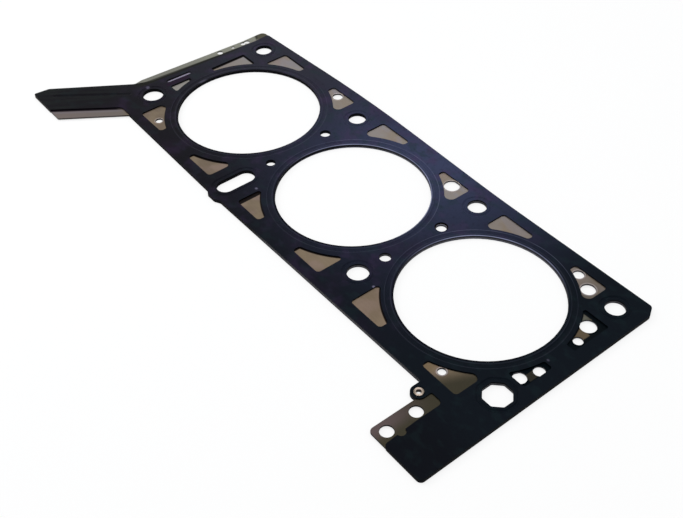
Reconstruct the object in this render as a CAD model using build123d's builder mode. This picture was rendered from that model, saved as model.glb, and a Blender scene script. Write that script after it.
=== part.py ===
from build123d import *
from math import atan, degrees
import os

# Multi-layer steel cylinder head gasket for one bank of three cylinders.
# +X runs along the row of bores, +Y towards the far long edge, +Z up through the stack.
# The origin is on the axis of the middle bore, in the plane of the lowest face.
# All sizes are in millimetres.

# ---- stack: four sheets, listed from the bottom up ----
active_thickness = 0.25
bead_height = 0.45
distance_thickness = 0.50
carrier_thickness = 0.60
stopper_thickness = 0.12

distance_z = active_thickness + bead_height
carrier_z = distance_z + distance_thickness
carrier_top_z = carrier_z + carrier_thickness
top_layer_z = carrier_top_z + bead_height
stack_thickness = top_layer_z + active_thickness

# ---- bores ----
bore_pitch = 113.0
bore_r = 96.2 / 2
bores = [(-bore_pitch, 0.0), (0.0, 0.0), (bore_pitch, 0.0)]
stopper_width = 1.4

# ---- outline ----
far_edge_y = 65.8
far_edge_bends = [(60.0, 65.1), (-70.0, 69.0)]
far_edge_r = 1200.0
far_left_y = 63.8
near_left_y = -65.3
near_mid_y = -67.3
near_right_y = -65.7
bump_rise = 2.1
bump_foot = (-5.2, 9.5)
bump_top = (-1.5, 5.5)
bump_foot_r = 2.0
bump_top_r = 2.5
right_end_x = 184.0
right_end_top_x = 182.4
right_corner_cut = (3.7, 6.2)
tab_left_x = 144.9
tab_end_y = -106.2
coated_tab_x = 155.8
coated_tab_end_x = 156.9
coated_tab_top_y = -66.5
arm_end_y = -104.9
arm_tip_x = -224.5
arm_shoulder = (-223.3, -94.0)
arm_root = (-190.2, -45.6)
edge_r = 2.8

# ---- coolant windows: bore x, arc radius, side x, tip x, y of the outer side, radius nearest the row ----
side_windows = [
    (-bore_pitch, 55.2, -151.5, -127.8, 58.6, 1.6),
    (-bore_pitch, 57.0, -73.2, -96.6, 60.2, 3.6),
    (0.0, 57.4, -42.6, -16.4, 59.9, 4.0),
    (0.0, 56.0, 44.2, 19.8, 56.8, 4.0),
    (bore_pitch, 54.8, 73.1, 98.0, 57.3, 3.6),
    (bore_pitch, 55.6, 153.8, 130.0, 57.8, 3.6),
    (-bore_pitch, 56.9, -156.2, -130.9, -58.9, 3.6),
    (-bore_pitch, 57.6, -71.0, -95.8, -59.4, 3.0),
    (0.0, 56.6, -38.9, -16.5, -59.6, 1.8),
    (0.0, 56.9, 41.9, 17.6, -59.1, 2.0),
    (bore_pitch, 55.2, 71.2, 96.7, -58.8, 2.0),
    (bore_pitch, 56.5, 156.5, 130.2, -58.5, 3.6),
]
side_window_inner_y = 32.0
# ---- windows at the two ends of the row: bore x, arc radius, side x, lower y, upper y ----
end_windows = [
    (-bore_pitch, 54.9, -171.2, 7.2, 35.0),
    (-bore_pitch, 56.3, -170.9, -26.6, -10.8),
    (bore_pitch, 56.0, 174.0, 9.6, 36.2),
    (bore_pitch, 56.4, 174.5, -27.9, -7.6),
]
side_window_corner_r = 2.3
end_window_corner_r = 1.3
relief_slot = (-177.2, -16.0)
relief_slot_size = (19.0, 3.0)
relief_slot_angle = 87.8

# ---- beads ----
bore_bead_r = 51.5
bore_bead_width = 3.4
hole_bead_gap = 1.4
hole_bead_width = 2.0
crest_share = 0.36
arm_bead_start = (-213.8, -95.9)
arm_bead_end = (-180.5, -52.2)
arm_bead_width = 3.0

# ---- head bolt and oil holes: x, y, radius ----
bolt_r = 5.9
far_bolt_y = 49.8
inner_bolt_x = 57.9
outer_bolt_x = 166.6
far_bolts = [(x, far_bolt_y, bolt_r) for x in (-outer_bolt_x, -inner_bolt_x, inner_bolt_x, outer_bolt_x)]
near_bolts = [(-170.1, -41.3, 7.1), (56.1, -41.1, 6.6)]
key_hole = (169.4, -41.6)
key_hole_flats = 15.8
key_hole_corner_r = 1.6
drain_slot = (-55.5, -49.5)
drain_slot_length = 26.8
drain_slot_width = 11.8
vent_holes = [(-58.5, 23.4, 3.5), (-56.5, -22.0, 3.1), (57.9, 20.8, 3.3), (56.5, -21.3, 3.6)]
vent_step_hole = (57.9, 20.8, 4.1)

# ---- metering holes in the bare sheets, inside the windows: x, y, radius ----
metering_holes = [
    (-86.7, 55.8, 3.5),
    (33.4, 51.6, 5.0),
    (136.1, 54.0, 3.3),
    (147.5, 49.4, 4.3),
    (-142.2, -53.3, 2.4),
    (140.0, -52.9, 2.4),
    (166.3, 28.7, 4.8),
    (170.0, 16.8, 2.9),
    (171.6, -13.9, 3.4),
    (168.3, -25.0, 4.0),
]
rim_width = 0.9
rim_height = 0.14
rim_flank = 55.0

# ---- outer strips of the bare sheets ----
tab_holes = [(151.1, -80.1, 3.85), (151.1, -99.3, 3.85)]
strip_holes = [(-184.1, 46.9, 2.0), (-184.2, 43.4, 1.8), (-184.7, 35.0, 1.3), (-184.9, 23.8, 2.1)]
strip_hole_clearance = 0.5
distance_strip_out = 0.9
lobe = (156.1, -94.3, 2.7)

# ---- eyelet ----
eyelet_centre = (142.7, -71.1)
ear_r = 4.6
pocket_r = 3.7
pocket_floor_r = 3.0
eyelet_bore_r = 1.45
eyelet_barrel_r = 1.8
eyelet_flange_r = 2.75
eyelet_recess = 0.02
eyelet_rim_r = 0.12
eyelet_mouth_r = 0.22
eyelet_gap = 0.05


def outlined(corners):
    """Closed outline filled in, given as x, y and the radius of each corner."""
    with BuildSketch() as blank:
        with BuildLine():
            FilletPolyline(
                *[(x, y) for x, y, _ in corners],
                radius=[r for _, _, r in corners],
                close=True,
            )
        make_face()
    return blank.sketch


def right_and_far_edges():
    """Corners shared by every sheet, from the foot of the tab round to the far left corner."""
    cut_x, cut_y = right_corner_cut
    return [
        (right_end_x, tab_end_y, edge_r),
        (right_end_top_x, far_edge_y - cut_y, edge_r),
        (right_end_top_x - cut_x, far_edge_y, edge_r),
        *[(x, y, far_edge_r) for x, y in far_edge_bends],
    ]


def near_edge_bump():
    """The near edge swells outwards to carry the bead round the drain slot."""
    slot_x, _ = drain_slot
    return [
        (slot_x + bump_foot[0], near_mid_y, bump_foot_r),
        (slot_x + bump_top[0], near_mid_y - bump_rise, bump_top_r),
        (slot_x + bump_top[1], near_mid_y - bump_rise, bump_top_r),
        (slot_x + bump_foot[1], near_mid_y, bump_foot_r),
    ]


def coated_outline():
    """Outline of a coated sheet: full plate, narrow arm, tab without its bare strip."""
    ear_x, ear_y = eyelet_centre
    return [
        (-181.3, far_left_y, 1.5),
        (-180.4, 52.0, 4.0),
        (-184.9, -33.0, 6.0),
        (*arm_root, 3.0),
        (*arm_shoulder, 4.0),
        (arm_tip_x, arm_end_y, 1.2),
        (-200.4, arm_end_y, 0.8),
        (-171.2, near_left_y, 5.0),
        *near_edge_bump(),
        (ear_x - ear_r, near_right_y, 1.0),
        (ear_x - ear_r, ear_y, 0),
        (ear_x + ear_r, ear_y, 0),
        (ear_x + ear_r, coated_tab_top_y, 1.0),
        (coated_tab_x, coated_tab_top_y, 3.0),
        (coated_tab_x, -85.0, 4.0),
        (coated_tab_end_x, tab_end_y, 2.5),
        *right_and_far_edges(),
    ]


def bare_outline(strip_out):
    """Outline of a bare sheet: strips show beyond the coated sheets at arm, tab and left end."""
    ear_x, ear_y = eyelet_centre
    return [
        (-187.3 - strip_out, far_left_y, 3.5),
        (-186.9 - strip_out, 45.0, 20.0),
        (-191.5 - strip_out, -38.0, 1.0),
        (*arm_root, 1.0),
        (*arm_shoulder, 4.0),
        (arm_tip_x, arm_end_y, 1.2),
        (-188.6, arm_end_y, 1.5),
        (-160.6, near_left_y, 3.0),
        *near_edge_bump(),
        (ear_x - ear_r, near_right_y, 1.0),
        (ear_x - ear_r, ear_y, 0),
        (tab_left_x, ear_y, 0),
        (tab_left_x, tab_end_y, edge_r),
        *right_and_far_edges(),
    ]


def cut_circles(circles, extra=0.0):
    """Cut round holes given as x, y and radius, each made wider by extra."""
    for x, y, r in circles:
        with Locations((x, y)):
            Circle(r + extra, mode=Mode.SUBTRACT)


def from_row(corner):
    """How far a corner is from the line through the bore centres."""
    return abs(corner.Y)


def window(bore_x, arc_r, side_x, far_x, y_a, y_b, inner_r, corner_r):
    """One coolant window: a rectangle bitten by a circle about the bore, with rounded corners."""
    with BuildSketch() as opening:
        with Locations(((side_x + far_x) / 2, (y_a + y_b) / 2)):
            Rectangle(abs(side_x - far_x), abs(y_b - y_a))
        with Locations((bore_x, 0)):
            Circle(arc_r, mode=Mode.SUBTRACT)
        fillet(sorted(opening.vertices(), key=from_row)[1:], corner_r)
        fillet(min(opening.vertices(), key=from_row), inner_r)
    return opening.sketch


def cut_windows():
    """Cut every coolant window and the narrow relief slot beside the left end."""
    for bore_x, arc_r, side_x, tip_x, outer_y, inner_r in side_windows:
        inner_y = side_window_inner_y if outer_y > 0 else -side_window_inner_y
        radii = (inner_r, side_window_corner_r)
        add(window(bore_x, arc_r, side_x, tip_x, inner_y, outer_y, *radii), mode=Mode.SUBTRACT)
    for bore_x, arc_r, side_x, lower_y, upper_y in end_windows:
        radii = (end_window_corner_r, end_window_corner_r)
        add(window(bore_x, arc_r, side_x, bore_x, lower_y, upper_y, *radii), mode=Mode.SUBTRACT)
    with Locations(relief_slot):
        SlotOverall(*relief_slot_size, rotation=relief_slot_angle, mode=Mode.SUBTRACT)


def key_octagon(extra=0.0, mode=Mode.ADD):
    """The eight-sided hole at the right end, grown by extra on every side."""
    with BuildSketch() as octagon:
        with Locations(key_hole):
            RegularPolygon(key_hole_flats / 2 + extra, 8, major_radius=False, rotation=22.5)
        fillet(octagon.vertices(), key_hole_corner_r + extra)
    add(octagon.sketch, mode=mode)


def drain_slot_shape(extra=0.0, mode=Mode.ADD):
    """The long round-ended hole by the near edge, grown by extra on every side."""
    with Locations(drain_slot):
        SlotOverall(drain_slot_length + 2 * extra, drain_slot_width + 2 * extra, rotation=90, mode=mode)


def cut_shared_openings(vents):
    """Cut what runs through every sheet: bores, bolt holes, octagon, vents and drain slot."""
    cut_circles([(x, y, bore_r) for x, y in bores])
    cut_circles(far_bolts + near_bolts + vents)
    key_octagon(mode=Mode.SUBTRACT)
    drain_slot_shape(mode=Mode.SUBTRACT)


def coated_profile(vents):
    """Flat shape of a coated sheet."""
    add(outlined(coated_outline()))
    with Locations(eyelet_centre):
        Circle(ear_r)
    cut_windows()
    cut_shared_openings(vents)
    cut_circles([lobe])


def bare_profile(strip_out, strip_extra):
    """Flat shape of a bare sheet."""
    add(outlined(bare_outline(strip_out)))
    with Locations(eyelet_centre):
        Circle(ear_r)
    cut_shared_openings(vent_holes)
    cut_circles(metering_holes + tab_holes)
    cut_circles(strip_holes, strip_extra)


def bore_bead_tracks():
    """Tracks of the wide beads that ring the bores."""
    for x, y in bores:
        with Locations((x, y)):
            Circle(bore_bead_r + bore_bead_width / 2)
            Circle(bore_bead_r - bore_bead_width / 2, mode=Mode.SUBTRACT)


def hole_bead_tracks():
    """Tracks of the narrow beads round the bolt holes, the octagon and the drain slot."""
    outer = hole_bead_gap + hole_bead_width
    for x, y, r in far_bolts + near_bolts:
        with Locations((x, y)):
            Circle(r + outer)
    key_octagon(outer)
    drain_slot_shape(outer)
    cut_circles(far_bolts + near_bolts, hole_bead_gap)
    key_octagon(hole_bead_gap, Mode.SUBTRACT)
    drain_slot_shape(hole_bead_gap, Mode.SUBTRACT)


def arm_bead_track():
    """Track of the straight bead that stiffens the arm."""
    start = Vector(*arm_bead_start)
    run = Vector(*arm_bead_end) - start
    with Locations(start + run / 2):
        SlotOverall(run.length, arm_bead_width, rotation=run.get_angle(Vector(1, 0, 0)))


def press_beads(face_z, rise, mode):
    """Press every bead: its tapered ridge starts on the plane face_z and rises by rise."""
    for tracks, width in (
        (bore_bead_tracks, bore_bead_width),
        (hole_bead_tracks, hole_bead_width),
        (arm_bead_track, arm_bead_width),
    ):
        with BuildSketch(Plane.XY.offset(face_z)) as footprint:
            tracks()
        flank = degrees(atan((1 - crest_share) * width / 2 / bead_height))
        extrude(footprint.sketch, amount=rise, taper=flank, mode=mode)


def press_eyelet_pocket(face_z, rise, mode):
    """Press the round pocket that takes an eyelet flange, sloping in from its rim."""
    with BuildSketch(Plane.XY.offset(face_z)) as rim:
        with Locations(eyelet_centre):
            Circle(pocket_r)
    slope = degrees(atan((pocket_r - pocket_floor_r) / bead_height))
    extrude(rim.sketch, amount=rise, taper=slope, mode=mode)


def punch_eyelet_hole():
    """Punch the clearance hole for the barrel of the eyelet."""
    with BuildSketch() as punch:
        with Locations(eyelet_centre):
            Circle(eyelet_barrel_r + eyelet_gap)
    extrude(punch.sketch, amount=stack_thickness, mode=Mode.SUBTRACT)


os.makedirs("parts", exist_ok=True)

# ---- bottom active layer: coated sheet, beads rise from its upper face ----
with BuildPart() as bottom_active_layer:
    with BuildSketch():
        coated_profile(vent_holes)
    extrude(amount=active_thickness)
    press_beads(active_thickness, bead_height, Mode.ADD)
    press_beads(0, bead_height, Mode.SUBTRACT)
    press_eyelet_pocket(active_thickness, bead_height, Mode.ADD)
    press_eyelet_pocket(0, bead_height, Mode.SUBTRACT)
    punch_eyelet_hole()
bottom_active_layer.part.label = "bottom_active_layer"
export_step(bottom_active_layer.part, "parts/bottom_active_layer.step")

# ---- distance plate: bare sheet that sets the free height ----
with BuildPart() as distance_plate:
    with BuildSketch(Plane.XY.offset(distance_z)):
        bare_profile(distance_strip_out, strip_hole_clearance)
    extrude(amount=distance_thickness)
    punch_eyelet_hole()
distance_plate.part.label = "distance_plate"
export_step(distance_plate.part, "parts/distance_plate.step")

# ---- carrier plate: bare sheet with raised rims round its metering holes ----
with BuildPart() as carrier_plate:
    with BuildSketch(Plane.XY.offset(carrier_z)):
        bare_profile(0, 0)
    extrude(amount=carrier_thickness)
    with BuildSketch(Plane.XY.offset(carrier_top_z)):
        for x, y, r in metering_holes:
            with Locations((x, y)):
                Circle(r + rim_width)
                Circle(r, mode=Mode.SUBTRACT)
    extrude(amount=rim_height, taper=rim_flank)
    punch_eyelet_hole()
carrier_plate.part.label = "carrier_plate"
export_step(carrier_plate.part, "parts/carrier_plate.step")

# ---- top active layer: coated sheet, beads fall from its lower face ----
with BuildPart() as top_active_layer:
    with BuildSketch(Plane.XY.offset(top_layer_z)):
        coated_profile(vent_holes + [vent_step_hole])
    extrude(amount=active_thickness)
    press_beads(top_layer_z, -bead_height, Mode.ADD)
    press_beads(stack_thickness, -bead_height, Mode.SUBTRACT)
    press_eyelet_pocket(top_layer_z, -bead_height, Mode.ADD)
    press_eyelet_pocket(stack_thickness, -bead_height, Mode.SUBTRACT)
    punch_eyelet_hole()
top_active_layer.part.label = "top_active_layer"
export_step(top_active_layer.part, "parts/top_active_layer.step")

# ---- eyelet: a flanged barrel that pins the four sheets together at the ear ----
eyelet_plane = Plane(origin=(*eyelet_centre, 0), x_dir=(1, 0, 0), z_dir=(0, -1, 0))
with BuildPart() as eyelet:
    with BuildSketch(eyelet_plane) as half_section:
        with BuildLine():
            Polyline(
                (eyelet_bore_r, eyelet_recess),
                (eyelet_flange_r, eyelet_recess),
                (eyelet_flange_r, bead_height),
                (eyelet_barrel_r, bead_height),
                (eyelet_barrel_r, stack_thickness - bead_height),
                (eyelet_flange_r, stack_thickness - bead_height),
                (eyelet_flange_r, stack_thickness - eyelet_recess),
                (eyelet_bore_r, stack_thickness - eyelet_recess),
                close=True,
            )
        make_face()
        fillet(half_section.vertices().group_by(Axis.X)[0], eyelet_mouth_r)
        rim_corners = half_section.vertices().group_by(Axis.X)[-1].sort_by(Axis.Y)
        fillet([rim_corners[0], rim_corners[-1]], eyelet_rim_r)
    revolve(axis=Axis(eyelet_plane.origin, (0, 0, 1)))
eyelet.part.label = "eyelet"
export_step(eyelet.part, "parts/eyelet.step")

# ---- stopper rings: laid on the carrier plate at the edge of each bore ----
for number, (x, y) in enumerate(bores, start=1):
    with BuildPart() as stopper_ring:
        with BuildSketch(Plane.XY.offset(carrier_top_z)):
            with Locations((x, y)):
                Circle(bore_r + stopper_width)
                Circle(bore_r, mode=Mode.SUBTRACT)
        extrude(amount=stopper_thickness)
    stopper_ring.part.label = f"stopper_ring_{number}"
    export_step(stopper_ring.part, f"parts/stopper_ring_{number}.step")
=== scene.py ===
"""Dresses a multi-layer steel head gasket: coated sheets, bare steel sheets, stopper rings and eyelet.

The frame is the part's own, in metres: +X along the row of bores, +Y towards the far long edge, +Z up
through the stack, origin on the axis of the middle bore. The finishes measure it in millimetres.
"""

import math

import bpy
from mathutils import Matrix, Vector

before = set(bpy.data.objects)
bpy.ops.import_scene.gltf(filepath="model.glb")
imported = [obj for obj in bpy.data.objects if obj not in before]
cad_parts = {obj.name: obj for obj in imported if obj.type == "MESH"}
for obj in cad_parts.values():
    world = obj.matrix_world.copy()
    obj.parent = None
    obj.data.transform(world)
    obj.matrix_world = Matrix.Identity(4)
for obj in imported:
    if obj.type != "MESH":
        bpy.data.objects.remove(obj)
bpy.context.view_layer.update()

MM = 0.001

# ---- the gasket's driving sizes and places, in mm ----
LEFT_BORE, MIDDLE_BORE, RIGHT_BORE = -113.0, 0.0, 113.0
BORE_R = 48.1
BEAD_R = 51.5
BEAD_HALF_WIDTH = 1.7
CARRIER_TOP = 1.8
COAT_EDGE = (-180.4, 52.0)
COAT_EDGE_SLOPE = 0.053
ARM_CORNER = (-171.2, -65.3)
ARM_ANGLE = math.radians(53.6)
BRIGHT_VENT = (56.5, 21.5)
EYELET = (142.7, -71.1)

# ---- the part of each window's floor that is in full light, in mm ----
# bore that bites its corner, left, right, bottom, top, radius of the bite
LIT_FLOORS = [
    (LEFT_BORE, -151.2, -120.0, 38.0, 58.0, 50.0),
    (LEFT_BORE, -96.1, -70.0, 40.0, 60.2, 50.0),
    (MIDDLE_BORE, -42.1, -12.0, 40.0, 60.0, 50.0),
    (MIDDLE_BORE, 20.5, 50.0, 36.0, 57.0, 50.0),
    (RIGHT_BORE, 73.3, 103.0, 38.0, 57.5, 50.0),
    (RIGHT_BORE, 130.2, 158.0, 38.0, 58.0, 50.0),
    (LEFT_BORE, -155.8, -126.0, -64.0, -36.0, 57.2),
    (LEFT_BORE, -94.9, -66.0, -64.0, -38.0, 58.8),
    (MIDDLE_BORE, -35.9, -12.0, -64.0, -38.0, 57.4),
    (MIDDLE_BORE, 18.9, 46.0, -64.0, -38.0, 57.9),
    (RIGHT_BORE, 71.4, 101.0, -64.0, -38.0, 56.1),
    (RIGHT_BORE, 130.7, 160.0, -64.0, -38.0, 56.9),
    (LEFT_BORE, -169.5, -150.0, 4.0, 33.8, 50.0),
    (LEFT_BORE, -170.3, -150.0, -30.0, -12.4, 50.0),
    (RIGHT_BORE, 150.0, 164.6, 14.5, 33.6, 56.6),
    (RIGHT_BORE, 150.0, 171.3, 14.5, 24.5, 56.6),
    (RIGHT_BORE, 168.9, 173.6, -22.6, -16.0, 56.9),
    (LEFT_BORE, -178.2, -174.0, -27.0, -5.0, 50.0),
]

# ---- painted glints of light on the coating, in mm: x, y, reach along x, reach along y, and their strength ----
PAINTED_GLINTS = [
    (-161.5, -6.0, 1.8, 4.8, 0.3),
    (-152.5, 22.0, 1.6, 6.0, 0.3),
    (-180.0, -39.6, 1.9, 1.9, 0.55),
    (-41.4, -43.6, 1.5, 1.3, 0.7),
    (70.7, -41.6, 1.3, 1.2, 0.9),
    (169.6, -5.6, 1.3, 1.0, 0.3),
]

# ---- the view ----
CAMERA_PLACE = Vector((0.38720, -0.30034, 0.41926))
CAMERA_AIM = Vector((0.04175, -0.04173, 0.0025))
CAMERA_ROLL = math.radians(-1.88)
CAMERA_LENS = 54.99
SENSOR_WIDTH = 36.0
NEAREST_SEEN = 0.01
FARTHEST_SEEN = 20.0

# ---- the floor and the light ----
FLOOR_HALF = 4.0
FLOOR_DROP = 0.05 * MM
FLOOR_GLOW = 0.75
ROOM_LIGHT = 0.5
ROOM_TINT = (0.96, 0.98, 1.0, 1.0)
WHITE = (1.0, 1.0, 1.0, 1.0)
SHOWN_RAYS = ("Camera", "Glossy", "Transmission")

# ---- soft lamps: name, place, size of a side, power ----
LAMPS = [
    ("overhead", (0.0, 0.1, 1.3), 1.2, 9.0),
    ("side", (-0.9, -0.5, 0.8), 0.6, 4.0),
]


# =====================================================================================
# Shader maths
# =====================================================================================


class Signal:
    """One shader value. Arithmetic on it adds the Math nodes that work it out."""

    def __init__(self, graph, socket):
        self.graph = graph
        self.socket = socket

    def maths(self, operation, *others):
        """This value and the others through one Math node."""
        return self.graph.node("ShaderNodeMath", {"operation": operation}, [self, *others])

    def __add__(self, other):
        return self.maths("ADD", other)

    __radd__ = __add__

    def __mul__(self, other):
        return self.maths("MULTIPLY", other)

    __rmul__ = __mul__

    def __sub__(self, other):
        return self.maths("SUBTRACT", other)

    def __rsub__(self, other):
        return self.graph.node("ShaderNodeMath", {"operation": "SUBTRACT"}, [other, self])

    def __truediv__(self, other):
        return self.maths("DIVIDE", other)

    def __rtruediv__(self, other):
        return self.graph.node("ShaderNodeMath", {"operation": "DIVIDE"}, [other, self])

    def __abs__(self):
        return self.maths("ABSOLUTE")

    def __pow__(self, power):
        return self.maths("POWER", power)

    def least(self, other):
        """The smaller of the two."""
        return self.maths("MINIMUM", other)

    def most(self, other):
        """The greater of the two."""
        return self.maths("MAXIMUM", other)

    def rising(self, low, high):
        """0 below low, 1 above high, smooth between."""
        settings = {"interpolation_type": "SMOOTHSTEP"}
        return self.graph.node("ShaderNodeMapRange", settings, [self, low, high, 0.0, 1.0])

    def falling(self, low, high):
        """1 below low, 0 above high, smooth between."""
        return 1.0 - self.rising(low, high)

    def near(self, centre, reach):
        """1 at centre, fading to 0 at a distance of reach on either side."""
        return abs(self - centre).falling(0.0, reach)


class Graph:
    """A node tree, with the one method that adds nodes to it."""

    def __init__(self, tree):
        self.tree = tree

    def node(self, kind, settings=None, inputs=(), output=0):
        """Add one node: its settings first, then the values or links of its input sockets.

        Gives the output asked for, or nothing where the node has none.
        """
        made = self.tree.nodes.new(kind)
        for key, value in (settings or {}).items():
            setattr(made, key, value)
        pairs = inputs.items() if isinstance(inputs, dict) else enumerate(inputs)
        for key, value in pairs:
            if isinstance(value, Signal):
                self.tree.links.new(value.socket, made.inputs[key])
            else:
                made.inputs[key].default_value = value
        return Signal(self, made.outputs[output]) if made.outputs else None

    def backdrop(self, output, lit, seen, share=1.0):
        """Let all rays meet one surface, and mix in another for camera, glossy and transmission rays.

        The other's part of the mix is the greatest of those three rays' flags, times share.
        """
        rays = [self.node("ShaderNodeLightPath", output=f"Is {ray} Ray") for ray in SHOWN_RAYS]
        shown = rays[0].most(rays[1]).most(rays[2]) * share
        mixed = self.node("ShaderNodeMixShader", None, [shown, lit, seen])
        self.node(output, None, {"Surface": mixed})


class Finish(Graph):
    """A procedural material: a Principled surface, and the base colour painted up on it in layers.

    x, y and z are the place on the part in mm.
    """

    def __init__(self, name, base, **constants):
        self.material = bpy.data.materials.new(name)
        self.material.use_nodes = True
        super().__init__(self.material.node_tree)
        self.surface = self.tree.nodes["Principled BSDF"]
        for socket, value in constants.items():
            self.surface.inputs[socket.replace("_", " ")].default_value = value
        self.place = self.node("ShaderNodeTexCoord", output="Object")
        self.facing = self.node("ShaderNodeTexCoord", output="Normal")
        self.x, self.y, self.z = (self.axis(self.place, index) / MM for index in range(3))
        self.base = base

    def drive(self, socket, signal):
        """Feed a socket of the surface."""
        self.tree.links.new(signal.socket, self.surface.inputs[socket])

    def axis(self, vector, index):
        """One part of a vector: X, Y or Z by the index 0, 1 or 2."""
        return self.node("ShaderNodeSeparateXYZ", None, [vector], index)

    def noise(self, size, detail=2.0, stretch=(1.0, 1.0, 1.0), roughness=0.5, turn=0.0):
        """Soft random tone in patches of size mm, turned about Z, then squeezed along each axis."""
        rotation = (0.0, 0.0, turn)
        turned = self.node("ShaderNodeMapping", None, {"Vector": self.place, "Rotation": rotation})
        spread = self.node("ShaderNodeMapping", None, {"Vector": turned, "Scale": stretch})
        inputs = {"Vector": spread, "Scale": 1.0 / (size * MM), "Detail": detail}
        return self.node("ShaderNodeTexNoise", None, {**inputs, "Roughness": roughness})

    def blend(self, share, first, second):
        """Colour mixed from first to second by share."""
        inputs = {0: share, 6: first, 7: second}
        return self.node("ShaderNodeMix", {"data_type": "RGBA"}, inputs, 2)

    def paint(self, share, tint):
        """Lay a colour over the base colour by share."""
        self.base = self.blend(share, self.base, tint)

    def zone(self, left=None, right=None, bottom=None, top=None, soft=3.0):
        """1 inside a rectangle, fading over soft mm across each edge. An edge left out is open."""
        edges = [(self.x, left, 1.0), (self.x, right, -1.0), (self.y, bottom, 1.0), (self.y, top, -1.0)]
        insides = [(along - edge) * side for along, edge, side in edges if edge is not None]
        return math.prod(inside.rising(-soft / 2, soft / 2) for inside in insides)

    def spot(self, x, y, reach_x, reach_y, core=0.2):
        """1 about x and y, fading to 0 at an ellipse of the given reaches; core is its full share."""
        return length((self.x - x) / reach_x, (self.y - y) / reach_y).falling(core, 1.0)

    def relief(self, height, depth):
        """Bump the surface by height, which runs from 0 to 1, times depth in mm."""
        return self.node("ShaderNodeBump", None, {"Distance": depth * MM, "Height": height})


def length(first, second):
    """Square root of the sum of the squares of two signals."""
    return (first * first + second * second) ** 0.5


def colour(red, green, blue):
    """A colour given as 0 to 255 display values, turned into the linear values of a shader."""
    parts = []
    for value in (red, green, blue):
        share = value / 255.0
        parts.append(share / 12.92 if share <= 0.04045 else ((share + 0.055) / 1.055) ** 2.4)
    return (*parts, 1.0)


# =====================================================================================
# Places on the gasket
# =====================================================================================


def from_bores(finish):
    """Distance from the axis of each bore, by the bore's X."""
    bores = (LEFT_BORE, MIDDLE_BORE, RIGHT_BORE)
    return {bore_x: length(finish.x - bore_x, finish.y) for bore_x in bores}


def cut_wall(finish):
    """1 on the cut walls of a sheet, 0 on its two faces, by how far up or down the surface faces."""
    return abs(finish.axis(finish.facing, 2)).falling(0.35, 0.75)


def bounce_lit_wall(finish):
    """Where cut walls get painted bounce light: low in the openings right of the middle, and on the
    near edge.
    """
    openings = finish.zone(right=176.0, bottom=-63.0, soft=6.0) * finish.x.rising(-60.0, 20.0)
    near_edge = finish.zone(left=-5.0, right=140.0, top=-60.0, soft=20.0)
    return (finish.z.falling(0.6, 1.9) * openings).most(near_edge * 0.6)


def bare_arm(finish):
    """1 on the arm of the bare sheets."""
    return finish.zone(right=-162.5, top=-66.0, soft=8.0)


def from_coat_edge(finish):
    """How far right of the coated sheets' leaning left edge a place is, measured along X."""
    edge_x, edge_y = COAT_EDGE
    return finish.x + (edge_y - finish.y) * COAT_EDGE_SLOPE - edge_x


def from_arm_edge(finish):
    """How far outside the coated arm a place is: its offset from a line at the arm's angle."""
    corner_x, corner_y = ARM_CORNER
    return (finish.x - corner_x) * math.sin(ARM_ANGLE) - (finish.y - corner_y) * math.cos(ARM_ANGLE)


def lit_depth(finish):
    """How deep a place lies in the nearest window's lit floor: the least distance to its sides."""
    radii = from_bores(finish)
    deepest = None
    for bore_x, left, right, bottom, top, bite in LIT_FLOORS:
        depth = (finish.x - left).least(right - finish.x)
        depth = depth.least(finish.y - bottom).least(top - finish.y).least(radii[bore_x] - bite)
        deepest = depth if deepest is None else deepest.most(depth)
    return deepest


# =====================================================================================
# Finishes
# =====================================================================================

# painted bounce light on cut walls
BOUNCE_LIT_CUT = colour(112, 111, 116)
# painted shade on cut walls
SHADED_CUT = colour(14, 14, 18)

# the way across the eyelet, as a unit vector, at whose two ends painted shade darkens its flange
SHADED_SIDES_WAY = (0.6, 0.8)


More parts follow.
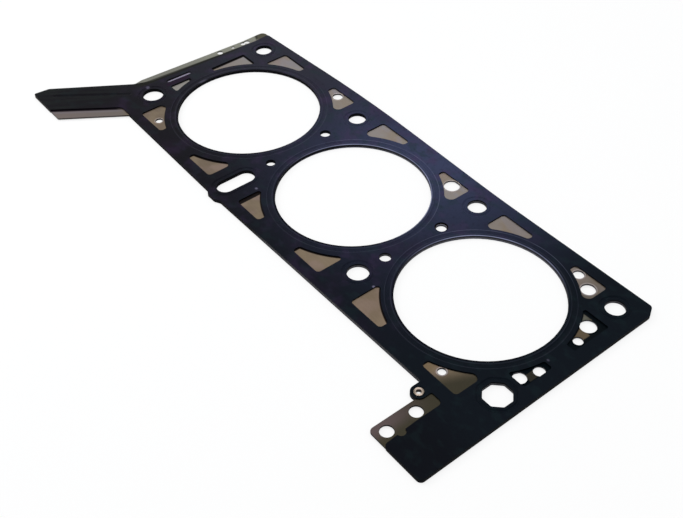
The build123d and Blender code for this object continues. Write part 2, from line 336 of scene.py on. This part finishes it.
def coating_finish():
    """Satin black coating.

    Black with a purple cast at the left end and a green one at the right, under a painted blue sheen
    that is strongest beside the far edge at the middle bore. Mottled purple and green, fine in the
    grain, streaked along the arm, with painted highlights at the bores' far rims and beside the beads,
    painted shade at their near rims and on the cut walls, painted bounce light low on some cut walls,
    and painted glints in a few small spots.
    """
    coat = Finish("satin_black_coating", colour(14, 13, 18), Specular_IOR_Level=0.03)
    x, y = coat.x, coat.y
    on_arm = x.falling(-195.0, -175.0)
    between_ends = (1.0 - on_arm) * x.falling(60.0, 130.0)
    coat.paint(x.rising(-130.0, 150.0), colour(7, 14, 22))
    coat.paint(coat.zone(left=120.0, top=-75.0, soft=30.0), colour(4, 7, 15))

    # painted sheen: a broad blue highlight on the coating, strongest beside the far edge at the middle
    # bore
    drift = coat.noise(111.0, 3.0)
    painted_sheen = x.falling(-10.0, 150.0) * (1.0 - x.falling(-100.0, 20.0) * 0.55)
    painted_sheen = painted_sheen * y.rising(-80.0, 65.0) * (0.8 + drift * 0.4)
    coat.paint(painted_sheen, coat.blend(x.rising(-140.0, -30.0), colour(56, 57, 71), colour(55, 61, 88)))

    cast = coat.noise(42.0, 2.0, (1.0, 1.6, 1.0)).rising(0.5, 0.7)
    coat.paint(cast * between_ends * 0.3, colour(34, 22, 42))
    purple = coat.noise(10.5).rising(0.48, 0.68) * (between_ends * 0.3 + painted_sheen * 0.7)
    coat.paint(purple * 0.45, colour(62, 46, 78))
    green = coat.noise(8.3, 2.0, (1.0, 1.4, 1.0)).rising(0.5, 0.68) * (0.3 + painted_sheen * 0.7)
    coat.paint(green * 0.45, colour(26, 46, 48))
    arm_streaks = coat.noise(33.0, 3.0, (1.0, 9.0, 1.0), turn=-ARM_ANGLE).rising(0.42, 0.68)
    coat.paint(arm_streaks * on_arm * 0.5, colour(26, 32, 30))
    beside_slit = coat.zone(left=-175.3, right=-171.8, bottom=-28.0, top=-10.0)
    coat.paint(beside_slit * 0.7, colour(34, 14, 38))
    mottle = coat.noise(2.4, 3.0).rising(0.5, 0.8)
    coat.paint(mottle * 0.3, colour(7, 8, 13))

    left, middle, right = from_bores(coat).values()
    radius = left.least(middle).least(right)
    # painted highlights: bright lines at the bores' far rims and beside the beads' edges
    far_part = y.rising(-30.0, 35.0) * coat.zone(left=-55.0, soft=30.0) * x.falling(100.0, 150.0)
    inner_edge = radius.near(BEAD_R - BEAD_HALF_WIDTH, 0.38)
    outer_edge = radius.near(BEAD_R + BEAD_HALF_WIDTH, 0.3)
    rim_highlight = radius.near(BORE_R + 0.2, 0.6) * far_part
    rim_highlight = rim_highlight + inner_edge * 0.06 + outer_edge * (0.06 + far_part * 0.16)
    patchy = coat.noise(22.0, 3.0).rising(0.35, 0.6)
    coat.paint(rim_highlight * (0.5 + patchy * 0.5), colour(142, 146, 176))
    # painted shade: a dark line at the bores' near rims
    near_rim_shade = radius.falling(BORE_R + 0.5, BORE_R + 1.5) * y.falling(-30.0, 5.0)
    coat.paint(near_rim_shade * 0.85, colour(3, 3, 12))
    left_edge = from_coat_edge(coat).falling(1.3, 2.8) * coat.zone(bottom=-45.0, top=37.0, soft=12.0)
    coat.paint(left_edge * 0.75, colour(22, 23, 15))
    # painted highlights: small glints of light on the coating
    for *ellipse, strength in PAINTED_GLINTS:
        coat.paint(coat.spot(*ellipse) * strength, colour(110, 106, 128))

    wall = cut_wall(coat)
    # painted shade darkens the cut walls of the coated sheets
    coat.paint(wall * 0.45, colour(9, 9, 12))
    # painted bounce light low on some cut walls
    coat.paint(bounce_lit_wall(coat) * wall * 0.8, BOUNCE_LIT_CUT)
    grain = coat.noise(0.42)
    coat.drive("Base Color", coat.base)
    coat.drive("Roughness", 0.36 + grain * 0.1 + mottle * 0.06 + wall * 0.1)
    coat.drive("Normal", coat.relief(grain, 0.012))
    return coat.material


def paint_sheet_tones_and_light(steel, streaks):
    """Taupe by the far edge and browner by the near one as painted light that falls off towards the
    near edge, stained in patches, and darker to the right with painted shade.
    """
    x, y = steel.x, steel.y
    # painted light: lighter by the far edge, browner and darker by the near one
    steel.paint(y.falling(-35.0, 35.0), colour(106, 93, 79))
    stain = steel.noise(18.0, 3.0).rising(0.42, 0.6)
    steel.paint(stain * 0.5, colour(126, 112, 92))
    rosy = steel.noise(14.3).rising(0.48, 0.66)
    steel.paint(rosy * 0.4, colour(132, 112, 108))
    lilac = steel.noise(16.7, 2.0, (1.0, 1.7, 1.0)).rising(0.5, 0.66) * y.rising(0.0, 30.0)
    steel.paint(lilac * 0.6, colour(130, 128, 136))
    # painted shade: darker to the right
    steel.paint(x.rising(0.0, 100.0) * 0.45, colour(96, 82, 66))
    left_floor = steel.zone(left=-173.5, right=-162.5, bottom=-29.0, top=2.5)
    steel.paint(left_floor, colour(136, 133, 128))
    steel.paint(streaks.rising(0.45, 0.8) * 0.1, colour(168, 160, 152))


def paint_right_end(steel):
    """Right end darkened to olive by painted shade: a tan tip, two warmer spots, a mauve side of the
    tab, and painted shade dimming the last floor.

    The olive starts further left the nearer it is to the near edge, and it is weaker by the far edge.
    """
    x, y = steel.x, steel.y
    # painted shade: dark olive over the right end
    leaning = (x - y.least(0.0) * 0.5).rising(159.5, 177.5)
    upright = x.rising(127.0, 153.0) * y.rising(-30.0, -20.0)
    olive = leaning.most(upright) * (1.0 - y.rising(25.0, 55.0) * 0.62)
    steel.paint(olive, colour(46, 43, 34))
    tan_tip = steel.zone(left=126.5, right=136.5, top=-42.5, soft=5.0)
    steel.paint(tan_tip * 0.6, colour(84, 70, 50))
    steel.paint(steel.spot(161.0, 30.0, 6.0, 6.0) * 0.8, colour(88, 88, 80))
    steel.paint(steel.spot(168.0, 22.0, 8.0, 10.0) * 0.8, colour(86, 74, 58))
    mauve = x.falling(147.0, 156.0) * x.rising(135.0, 140.0) * y.falling(-100.0, -66.0)
    steel.paint(mauve * 0.9, colour(72, 62, 62))
    # painted shade dimming the last floor
    shaded_last_floor = steel.zone(left=158.0, bottom=-33.0, top=-7.5)
    steel.paint(shaded_last_floor * 0.55, colour(20, 22, 22))


def paint_left_strip(steel):
    """Pale grey-green strip, darkened by painted shade beside the coated sheets, with an olive patch at
    its far corner.

    A dark line leans across the near side of the patch.
    """
    y = steel.y
    strip = steel.zone(right=-181.5, bottom=-45.0, soft=4.0)
    tone = steel.blend(y.rising(-30.0, 40.0), colour(112, 112, 104), colour(128, 129, 118))
    steel.paint(strip, tone)
    # painted shade beside the coated sheets
    shade = (from_coat_edge(steel) - y * 0.025).rising(-2.3, -1.3)
    steel.paint(shade * strip * 0.9, colour(30, 30, 21))
    steel.paint(steel.spot(-184.0, 60.0, 6.5, 6.5, core=0.6), colour(70, 68, 53))
    from_line = y - 55.5 + (steel.x + 184.0) * 0.6
    steel.paint(from_line.near(0.0, 1.4) * strip * 0.8, colour(20, 19, 14))


def paint_bare_arm(steel):
    """Grey arm: pinker towards its end, lilac beside the coated sheets and darkened by painted shade
    right against them.
    """
    arm = bare_arm(steel)
    steel.paint(arm, colour(104, 96, 92))
    steel.paint(steel.y.falling(-100.0, -70.0) * arm * 0.4, colour(110, 97, 95))
    from_edge = from_arm_edge(steel)
    steel.paint(from_edge.near(3.2, 1.8) * arm * 0.4, colour(112, 106, 118))
    # painted shade right against the coated sheets
    steel.paint(from_edge.falling(1.5, 2.5) * arm * 0.95, colour(18, 10, 24))


def bare_steel_finish():
    """Bare rolled steel.

    Its tone changes from place to place, partly as painted light and shade, fine streaks run with the
    rolling direction, painted shade darkens the floor of each window beside its far and left sides, the
    raised collars of the small holes carry a painted highlight, and the cut walls carry painted shade,
    but for painted light low on some of them, on those of the bare arm and on one vent hole's wall.
    """
    steel = Finish("bare_rolled_steel", colour(131, 125, 122), Specular_IOR_Level=0.05)
    x, z = steel.x, steel.z
    streaks = steel.noise(14.3, 4.0, (1.0, 36.0, 1.0), 0.65)
    paint_sheet_tones_and_light(steel, streaks)
    paint_right_end(steel)
    paint_left_strip(steel)
    paint_bare_arm(steel)
    slit_floor = steel.zone(left=-180.5, right=-174.0, bottom=-28.5, top=-3.5, soft=1.0)
    steel.paint(slit_floor, colour(146, 140, 160))
    collar = z.rising(CARRIER_TOP + 0.02, CARRIER_TOP + 0.1)
    # painted highlight on the raised collars of the small holes
    steel.paint(collar * x.falling(152.0, 156.0) * 0.35, colour(168, 160, 164))

    under_coat = steel.zone(left=-179.5, right=180.0, bottom=-63.7, soft=1.5)
    shade = lit_depth(steel).falling(-0.25, 0.35) * under_coat
    shade_tone = steel.blend(x.rising(100.0, 150.0), colour(9, 6, 8), colour(0, 5, 10))
    steel.paint(shade * 0.98, shade_tone)
    wall = cut_wall(steel) * (1.0 - collar)
    # painted shade on the cut walls, and painted light on those of the bare arm
    steel.paint(wall, steel.blend(bare_arm(steel), SHADED_CUT, colour(70, 66, 65)))
    # painted bounce light low on some cut walls
    steel.paint(bounce_lit_wall(steel) * wall * 0.8, BOUNCE_LIT_CUT)
    # painted light on one vent hole's wall
    lit_vent_wall = steel.spot(*BRIGHT_VENT, 6.0, 6.0, core=0.75) * wall * z.rising(0.9, 1.1)
    steel.paint(lit_vent_wall, colour(130, 128, 138))

    steel.drive("Base Color", steel.base)
    steel.drive("Metallic", 0.9 - wall * 0.9)
    steel.drive("Roughness", 0.3 + streaks * 0.12 + shade * 0.2 + wall * 0.3)
    steel.drive("Normal", steel.relief(streaks, 0.006))
    return steel.material


def stopper_finish():
    """Clean strip steel with fine streaks, and painted shade on its cut walls."""
    steel = Finish("stopper_strip_steel", colour(120, 118, 116), Specular_IOR_Level=0.12)
    streaks = steel.noise(12.5, 3.0, (1.0, 30.0, 1.0))
    wall = cut_wall(steel)
    steel.paint(streaks, colour(150, 148, 146))
    # painted shade on the cut walls
    steel.paint(wall, SHADED_CUT)
    steel.drive("Base Color", steel.base)
    steel.drive("Metallic", 1.0 - wall)
    steel.drive("Roughness", 0.3 + streaks * 0.15 + wall * 0.3)
    return steel.material


def bronze_finish():
    """Bronze-coloured plating: beige, worn in spots, with painted shade on two sides of the flange and
    in the barrel.
    """
    bronze = Finish("worn_bronze_plating", colour(160, 147, 136), Metallic=1.0)
    worn = bronze.noise(1.1, 4.0).rising(0.4, 0.65)
    bronze.paint(worn * 0.5, colour(138, 124, 112))
    centre_x, centre_y = EYELET
    way_x, way_y = SHADED_SIDES_WAY
    aside = abs((bronze.x - centre_x) * way_x + (bronze.y - centre_y) * way_y)
    # painted shade on two sides of the flange
    side_shade = aside.rising(1.0, 2.3)
    bronze.paint(side_shade * 0.85, colour(92, 84, 74))
    inside = cut_wall(bronze)
    # painted shade inside the barrel
    bronze.paint(inside * 0.95, colour(26, 16, 12))
    bronze.drive("Base Color", bronze.base)
    bronze.drive("Roughness", 0.24 + worn * 0.16 + inside * 0.15)
    bronze.drive("Normal", bronze.relief(bronze.noise(0.38), 0.008))
    return bronze.material


def dress(material, *nodes):
    """Give the named nodes this material in place of their own."""
    for node in nodes:
        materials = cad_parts[node].data.materials
        materials.clear()
        materials.append(material)


dress(coating_finish(), "bottom_active_layer", "top_active_layer")
dress(bare_steel_finish(), "distance_plate", "carrier_plate")
dress(stopper_finish(), "stopper_ring_1", "stopper_ring_2", "stopper_ring_3")
dress(bronze_finish(), "eyelet")


# =====================================================================================
# Floor, light and camera
# =====================================================================================

PAPER = colour(250, 250, 250)


def lay_floor():
    """A wide pale floor just under the gasket: bright to the camera, and it keeps the shadow."""
    mesh = bpy.data.meshes.new("floor")
    sides = ((-1, -1), (1, -1), (1, 1), (-1, 1))
    corners = [(x * FLOOR_HALF, y * FLOOR_HALF, -FLOOR_DROP) for x, y in sides]
    mesh.from_pydata(corners, [], [(0, 1, 2, 3)])
    material = bpy.data.materials.new("pale_paper")
    material.use_nodes = True
    material.node_tree.nodes.clear()
    paper = Graph(material.node_tree)
    matt = paper.node("ShaderNodeBsdfPrincipled", None, {"Base Color": PAPER, "Roughness": 0.9})
    glow = paper.node("ShaderNodeEmission", None, {"Color": WHITE, "Strength": 1.0})
    paper.backdrop("ShaderNodeOutputMaterial", matt, glow, FLOOR_GLOW)
    mesh.materials.append(material)
    floor = bpy.data.objects.new("floor", mesh)
    bpy.context.scene.collection.objects.link(floor)


def light_room():
    """An even pale room that shows white to the camera, in shiny surfaces and through glass."""
    world = bpy.data.worlds.new("pale_room")
    bpy.context.scene.world = world
    world.use_nodes = True
    world.node_tree.nodes.clear()
    room = Graph(world.node_tree)
    light = room.node("ShaderNodeBackground", None, {"Color": ROOM_TINT, "Strength": ROOM_LIGHT})
    white = room.node("ShaderNodeBackground", None, {"Color": WHITE, "Strength": 1.0})
    room.backdrop("ShaderNodeOutputWorld", light, white)


def hang_lamp(name, place, size, power):
    """A square soft lamp facing the middle bore."""
    lamp = bpy.data.lights.new(name, "AREA")
    lamp.shape = "SQUARE"
    lamp.size = size
    lamp.energy = power
    holder = bpy.data.objects.new(name, lamp)
    holder.location = place
    holder.rotation_euler = (-Vector(place)).to_track_quat("-Z", "Y").to_euler()
    bpy.context.scene.collection.objects.link(holder)


def set_camera():
    """A camera at its place, facing its aim and rolled about its own axis."""
    lens = bpy.data.cameras.new("camera")
    lens.sensor_fit = "HORIZONTAL"
    lens.sensor_width = SENSOR_WIDTH
    lens.lens = CAMERA_LENS
    lens.clip_start = NEAREST_SEEN
    lens.clip_end = FARTHEST_SEEN
    camera = bpy.data.objects.new("camera", lens)
    level = (CAMERA_AIM - CAMERA_PLACE).to_track_quat("-Z", "Y").to_matrix().to_4x4()
    roll = Matrix.Rotation(CAMERA_ROLL, 4, "Z")
    camera.matrix_world = Matrix.Translation(CAMERA_PLACE) @ level @ roll
    bpy.context.scene.collection.objects.link(camera)
    bpy.context.scene.camera = camera


lay_floor()
light_room()
for lamp_row in LAMPS:
    hang_lamp(*lamp_row)
set_camera()
bpy.context.scene.view_settings.view_transform = "Standard"
